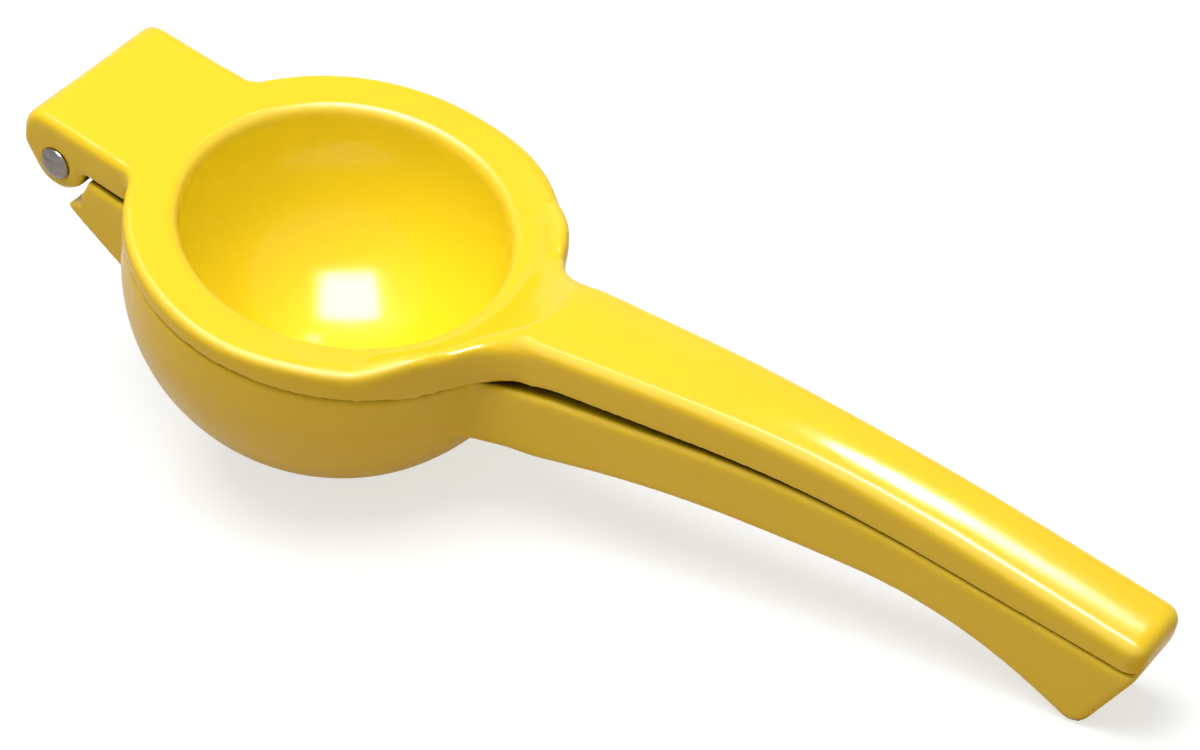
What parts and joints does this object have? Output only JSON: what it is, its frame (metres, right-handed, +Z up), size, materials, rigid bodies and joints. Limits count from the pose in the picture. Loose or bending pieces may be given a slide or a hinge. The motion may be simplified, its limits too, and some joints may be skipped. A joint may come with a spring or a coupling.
{
  "type": "hinged lemon squeezer",
  "caption": "Hinged hand press for lemon halves: an enamelled press cup swings on a rivet over a perforated strainer bowl, each with its own long curved handle.",
  "frame": {"origin": "centre of the closed tool's footprint on the worktop, at worktop height", "axes": "+Z up from the worktop, +X from the hinge towards the handles' free end, +Y to the left seen from the hinge end"},
  "size_m": [0.2154, 0.076, 0.0611],
  "materials": {
    "enamel": "glossy yellow enamel on cast aluminium",
    "rivet_steel": "formed steel rivet, lightly brushed"
  },
  "bodies": {
    "bowl_side": {"bowl_arm": "enamel"},
    "press_side": {"press_arm": "enamel", "hinge_rivet": "rivet_steel"}
  },
  "joints": [
    {"name": "hinge", "type": "hinge", "parent": "bowl_side", "child": "press_side", "pos_m": [-0.1004, 0, 0.05159], "axis": [0, -1, 0], "range_deg": [0, 120]}
  ]
}
